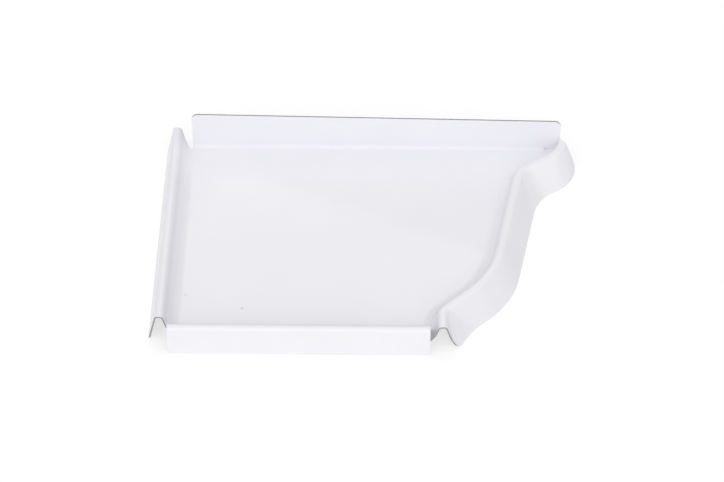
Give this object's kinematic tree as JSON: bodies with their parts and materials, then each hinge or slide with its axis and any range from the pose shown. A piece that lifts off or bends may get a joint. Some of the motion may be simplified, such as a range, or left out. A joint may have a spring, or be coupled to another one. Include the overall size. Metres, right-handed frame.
{
  "type": "gutter end cap",
  "caption": "Stamped sheet end cap for a K-style rain gutter, left-hand: a flat web inside a folded channel rim that grips the gutter's end, with an upright top flange.",
  "frame": {"origin": "middle of the cap's box in plan, in the plane of the rims' free edges", "axes": "+X from the gutter's back to its front, +Y from the gutter's bottom to its top, +Z out of the cap's outer face, away from the gutter"},
  "size_m": [0.1352, 0.0936, 0.0181],
  "materials": {
    "white_paint": "white semi-gloss coil-coated aluminium sheet"
  },
  "bodies": {
    "root": {"end_cap": "white_paint"}
  },
  "joints": []
}
